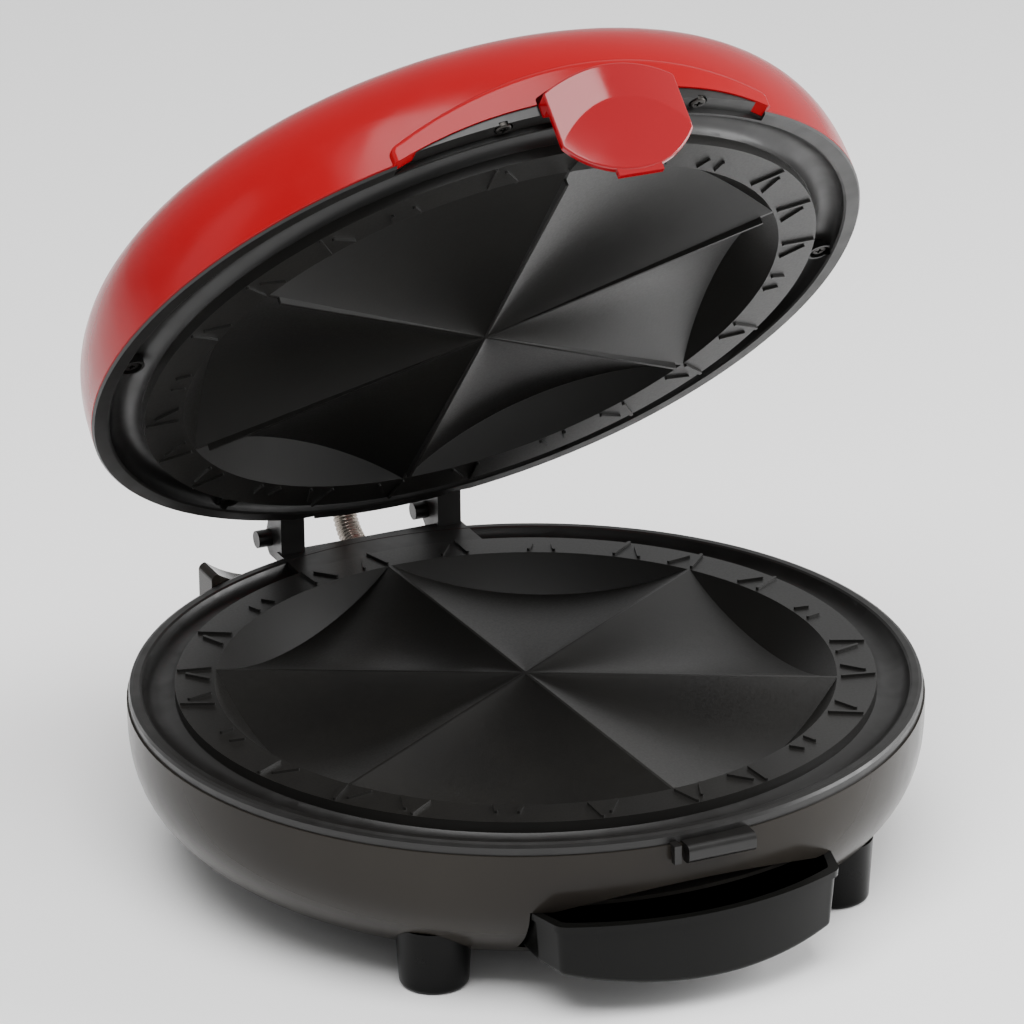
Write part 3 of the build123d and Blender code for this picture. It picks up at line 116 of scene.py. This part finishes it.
def glossy_abs(name, dark, light, roughness, ripple, **sockets):
    """Glossy injection-moulded ABS: deep even colour, with the faint waviness of a moulded skin."""
    finish, tree, shader, place = blank_finish(name, light, roughness, IOR=1.54, **sockets)
    cloud = speckle(tree, place, 60.0)
    tree.links.new(tint(tree, cloud, dark, light), shader.inputs["Base Color"])
    smear = speckle(tree, place, 9.0, 4.0)
    tree.links.new(spread(tree, smear, roughness * 0.85, roughness * 1.25), shader.inputs["Roughness"])
    relief(tree, shader, speckle(tree, place, 22.0, 1.0), ripple, 0.35)
    return finish


def grained_plastic(name, dark, light, roughness, grain, depth):
    """Spark-eroded moulded plastic: fine even grain that breaks up the light."""
    finish, tree, shader, place = blank_finish(name, light, roughness, IOR=1.49)
    cloud = speckle(tree, place, 25.0, 3.0)
    tree.links.new(tint(tree, cloud, dark, light), shader.inputs["Base Color"])
    grit = speckle(tree, place, grain, 2.0)
    tree.links.new(spread(tree, grit, roughness * 0.85, roughness * 1.15), shader.inputs["Roughness"])
    relief(tree, shader, grit, depth, 0.5)
    return finish


def nonstick_coating(name):
    """Sprayed PTFE coat baked on a die-cast aluminium plate: satin black with a fine orange peel."""
    finish, tree, shader, place = blank_finish(name, "141312", 0.36, IOR=1.5)
    cloud = speckle(tree, place, 40.0, 3.0)
    tree.links.new(tint(tree, cloud, "11100f", "171614"), shader.inputs["Base Color"])
    # orange peel is about 0.3 mm, drawn at 0.8 mm so that it shows
    peel = speckle(tree, place, 0.8, 2.0)
    tree.links.new(spread(tree, peel, 0.34, 0.42), shader.inputs["Roughness"])
    relief(tree, shader, peel, 0.03, 0.4)
    return finish


def drawn_steel(name, base, roughness):
    """Plain steel with the faint lengthwise streaks of drawing and rolling."""
    finish, tree, shader, place = blank_finish(name, base, roughness, Metallic=1.0)
    streak = add_node(tree, "ShaderNodeMapping", {"Scale": (1.0, 8.0, 8.0)}, Vector=place)
    lines = speckle(tree, streak.outputs["Vector"], 4.0, 4.0)
    tree.links.new(spread(tree, lines, roughness * 0.7, roughness * 1.3), shader.inputs["Roughness"])
    relief(tree, shader, lines, 0.01, 0.3)
    return finish


# a black or red moulding in a white room picks up a grey haze, so each skin's reflection is held back
RED_LID = glossy_abs("red_glossy_abs", "8f050f", "970712", 0.2, 0.012, Specular_IOR_Level=0.18)
RED_LATCH = glossy_abs("red_glossy_abs_latch", "860410", "8d0613", 0.11, 0.01,
                       Specular_IOR_Level=0.45)
BLACK_SATIN = glossy_abs("black_satin_phenolic", "0f0e0d", "141312", 0.36, 0.015,
                         Specular_IOR_Level=0.36)
BASE_GREY = glossy_abs("dark_grey_glossy_abs", "24211e", "2a2723", 0.2, 0.015,
                       Specular_IOR_Level=0.12)
TRAY_BLACK = glossy_abs("black_glossy_polypropylene", "0b0b0a", "0e0e0d", 0.2, 0.015,
                        Specular_IOR_Level=0.1)
FOOT_BLACK = glossy_abs("black_abs_feet", "070707", "0a0a09", 0.22, 0.015, Specular_IOR_Level=0.1)
BLACK_PLASTIC = grained_plastic("black_grained_polypropylene", "262422", "2c2a27", 0.38, 0.6, 0.02)
TERMINAL_CREAM = grained_plastic("cream_polyamide", "d4cebc", "dcd6c5", 0.45, 0.6, 0.02)
NONSTICK = nonstick_coating("black_nonstick_coating")
STEEL = drawn_steel("drawn_steel", "a8a6a2", 0.32)
DARK_SCREW = drawn_steel("blackened_steel", "3a3836", 0.4)
CONDUIT_STEEL = drawn_steel("galvanised_steel_conduit", "9d958c", 0.3)

FINISHES = {
    "base_shell": BASE_GREY, "base_trim_ring": BLACK_SATIN, "lid_bezel": BLACK_SATIN,
    "lid_shell": RED_LID, "latch": RED_LATCH,
    "lower_plate": NONSTICK, "upper_plate": NONSTICK,
    "drip_tray": TRAY_BLACK, "tray_housing": BLACK_PLASTIC, "bottom_cover": BLACK_PLASTIC,
    "foot_front_left": FOOT_BLACK, "foot_front_right": FOOT_BLACK,
    "foot_rear_left": FOOT_BLACK, "foot_rear_right": FOOT_BLACK,
    "cord_gland": BLACK_PLASTIC, "conduit_base_ferrule": BLACK_PLASTIC,
    "conduit_lid_ferrule": BLACK_PLASTIC, "terminal_block": TERMINAL_CREAM,
    "lid_screws": DARK_SCREW,
}
for name, node in nodes.items():
    node.data.materials.clear()
    node.data.materials.append(FINISHES.get(name, STEEL))

# ---- floor and light -------------------------------------------------------------------------
FLOOR_SIZE = 6.0  # metres
LIGHT_AIM = (0, 0, 0.12)  # metres

bpy.ops.object.select_all(action="DESELECT")
bpy.ops.mesh.primitive_plane_add(size=FLOOR_SIZE, location=(0, 0, 0))
floor = bpy.context.object
floor.name = "floor"
floor.data.materials.append(blank_finish("white_paper_sweep", "ffffff", 0.9)[0])


def softbox(name, target, azimuth, height, distance, size, power):
    """White area light that faces a point; azimuth 0 is in front of the object, 90 on its right."""
    turn = math.radians(azimuth)
    lift = math.radians(height)
    aim = Vector(target)
    level = math.cos(lift)
    spot = aim + distance * Vector((math.sin(turn) * level, -math.cos(turn) * level, math.sin(lift)))
    lamp = bpy.data.lights.new(name, "AREA")
    lamp.shape = "RECTANGLE"
    lamp.size, lamp.size_y = size
    lamp.energy = power
    light = bpy.data.objects.new(name, lamp)
    light.rotation_euler = (aim - spot).to_track_quat("-Z", "Y").to_euler()
    light.location = spot
    bpy.context.scene.collection.objects.link(light)


softbox("key_above", LIGHT_AIM, -35, 68, 1.6, (1.5, 1.2), 44)
softbox("fill_left", LIGHT_AIM, -112, 14, 1.6, (0.4, 1.2), 1.5)
softbox("fill_right", LIGHT_AIM, 74, 14, 1.5, (0.8, 1.0), 28)

world = bpy.data.worlds.new("studio")
world.use_nodes = True
# the room is dimmer on the left, so that the dark bowl and the lid's left edge stay deep
room = world.node_tree
backdrop = room.nodes["Background"]
backdrop.inputs["Color"].default_value = colour("ffffff")
way = add_node(room, "ShaderNodeTexCoord").outputs["Generated"]
sideways = add_node(room, "ShaderNodeSeparateXYZ", Vector=way).outputs["X"]
glow = add_node(room, "ShaderNodeMapRange",
                {"From Min": -1.0, "From Max": 1.0, "To Min": 0.2, "To Max": 0.85}, Value=sideways)
room.links.new(glow.outputs["Result"], backdrop.inputs["Strength"])
bpy.context.scene.world = world

# ---- camera ----------------------------------------------------------------------------------
FOCAL = 224.98
SENSOR = 36.0
DISTANCE = 1934.16
TO_SIDE = -4.1152  # camera's shift across its own view, and up in it
TO_TOP = 48.8545
AZIMUTH = math.radians(-24.187)
ELEVATION = math.radians(22.465)
ROLL = math.radians(-0.614)
reach = math.cos(ELEVATION)
back = Vector((math.sin(AZIMUTH) * reach, -math.cos(AZIMUTH) * reach, math.sin(ELEVATION)))
level = Vector((math.cos(AZIMUTH), math.sin(AZIMUTH), 0))
rise = back.cross(level)
right = math.cos(ROLL) * level + math.sin(ROLL) * rise
top = -math.sin(ROLL) * level + math.cos(ROLL) * rise
lens = bpy.data.cameras.new("camera")
lens.sensor_width = SENSOR
lens.lens = FOCAL
lens.clip_end = 20
camera = bpy.data.objects.new("camera", lens)
camera.matrix_world = Matrix((
    (right.x, top.x, back.x, 0),
    (right.y, top.y, back.y, 0),
    (right.z, top.z, back.z, 0),
    (0, 0, 0, 1),
))
camera.location = (TO_SIDE * right + TO_TOP * top + DISTANCE * back + Vector((0, 0, RIM_Z))) * MM
bpy.context.scene.collection.objects.link(camera)
bpy.context.scene.camera = camera

# ---- wire conduit behind the hinge -----------------------------------------------------------
CONDUIT_X = -0.5
CONDUIT_DROP = 8.9  # its exit from the base, below the rim
CONDUIT_SLOPE = math.radians(15.4)
CONDUIT_LID_RISE = 8.0  # its exit from the lid, above the hinge
CONDUIT_BEND = 14.0
CONDUIT_R = 4.0
CONDUIT_SIDES = 40
RIB_DEPTH = 0.6
RIBS = 33
RIB_CUTS = (0.15, 0.3, 0.5, 0.7, 0.85)  # where each rib is cut across, as shares of its length
RIB_FULLNESS = 0.6  # under 1 gives a rib a flatter top and a tighter groove
MERGE_GAP = 0.00002  # metres; ends of neighbouring ribs closer than this become one
FERRULE_HIDDEN = 1.6  # start of the conduit inside each ferrule


def swing_point(y, z):
    """Place of a point of the closed lid, in the plane of the conduit, once the lid is open."""
    turn = math.radians(-OPEN_ANGLE)
    dy, dz = y - HINGE_Y, z - HINGE_Z
    return Vector((0, HINGE_Y + math.cos(turn) * dy - math.sin(turn) * dz,
                   HINGE_Z + math.sin(turn) * dy + math.cos(turn) * dz))


def conduit_line():
    """Bezier route of the conduit: straight out of the base, one bend, straight into the lid."""
    exit_base = Vector((0, math.sqrt(SHELL_R**2 - CONDUIT_X**2), RIM_Z - CONDUIT_DROP))
    exit_lid = swing_point(math.sqrt(LID_R**2 - CONDUIT_X**2), HINGE_Z + CONDUIT_LID_RISE)
    out_base = Vector((0, math.cos(CONDUIT_SLOPE), math.sin(CONDUIT_SLOPE)))
    out_lid = Vector((0, math.cos(math.radians(OPEN_ANGLE)), -math.sin(math.radians(OPEN_ANGLE))))
    gap = exit_lid - exit_base
    run = (gap.y * out_lid.z - gap.z * out_lid.y) / (out_base.y * out_lid.z - out_base.z * out_lid.y)
    corner = exit_base + out_base * run
    start = exit_base + out_base * FERRULE_HIDDEN
    end = exit_lid + out_lid * FERRULE_HIDDEN
    bend = out_base.angle(-out_lid)
    tangent = CONDUIT_BEND * math.tan(bend / 2)
    handle = CONDUIT_BEND * 4 / 3 * math.tan(bend / 4)
    first = corner - out_base * tangent
    last = corner - out_lid * tangent
    points = (
        (start, start - out_base, start + (first - start) / 3),
        (first, first - (first - start) / 3, first + out_base * handle),
        (last, last + out_lid * handle, last - (last - end) / 3),
        (end, end + (last - end) / 3, end - (last - end) / 3),
    )
    curve = bpy.data.curves.new("conduit_route", "CURVE")
    curve.dimensions = "3D"
    curve.resolution_u = 24
    spline = curve.splines.new("BEZIER")
    spline.bezier_points.add(len(points) - 1)
    across = Vector((CONDUIT_X, 0, 0))
    for knot, (place, before, after) in zip(spline.bezier_points, points):
        knot.co = (place + across) * MM
        knot.handle_left = (before + across) * MM
        knot.handle_right = (after + across) * MM
    route = bpy.data.objects.new("conduit_route", curve)
    bpy.context.scene.collection.objects.link(route)
    return route, spline.calc_length()


def wire_conduit_piece():
    """Ribbed steel conduit: one rib with its groove, repeated along the route."""
    route, length = conduit_line()
    pitch = length / RIBS
    bpy.ops.object.select_all(action="DESELECT")
    bpy.ops.mesh.primitive_cylinder_add(
        vertices=CONDUIT_SIDES, radius=(CONDUIT_R - RIB_DEPTH) * MM, depth=pitch,
        end_fill_type="NOTHING", location=(pitch / 2, 0, 0), rotation=(0, math.pi / 2, 0))
    conduit = bpy.context.object
    conduit.name = "wire_conduit_ribbed"
    bpy.ops.object.transform_apply(location=True, rotation=True, scale=True)
    bpy.ops.object.mode_set(mode="EDIT")
    for share in RIB_CUTS:
        bpy.ops.mesh.select_all(action="SELECT")
        bpy.ops.mesh.bisect(plane_co=(pitch * share, 0, 0), plane_no=(1, 0, 0))
    bpy.ops.object.mode_set(mode="OBJECT")
    for vertex in conduit.data.vertices:
        crown = math.sin(math.pi * min(max(vertex.co.x / pitch, 0.0), 1.0))
        scale = 1 + crown**RIB_FULLNESS * RIB_DEPTH / (CONDUIT_R - RIB_DEPTH)
        vertex.co.y *= scale
        vertex.co.z *= scale
    rows = conduit.modifiers.new("ribs", "ARRAY")
    rows.count = RIBS
    rows.use_merge_vertices = True
    rows.merge_threshold = MERGE_GAP
    follow = conduit.modifiers.new("route", "CURVE")
    follow.object = route
    follow.deform_axis = "POS_X"
    bpy.ops.object.modifier_apply(modifier="ribs")
    bpy.ops.object.modifier_apply(modifier="route")
    bpy.data.objects.remove(route)
    bpy.ops.object.mode_set(mode="EDIT")
    bpy.ops.mesh.select_all(action="SELECT")
    bpy.ops.mesh.normals_make_consistent(inside=False)
    bpy.ops.object.mode_set(mode="OBJECT")
    bpy.ops.object.shade_smooth()
    conduit.data.materials.append(CONDUIT_STEEL)
    return conduit


conduit = wire_conduit_piece()
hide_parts("wire_conduit")
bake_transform(conduit)
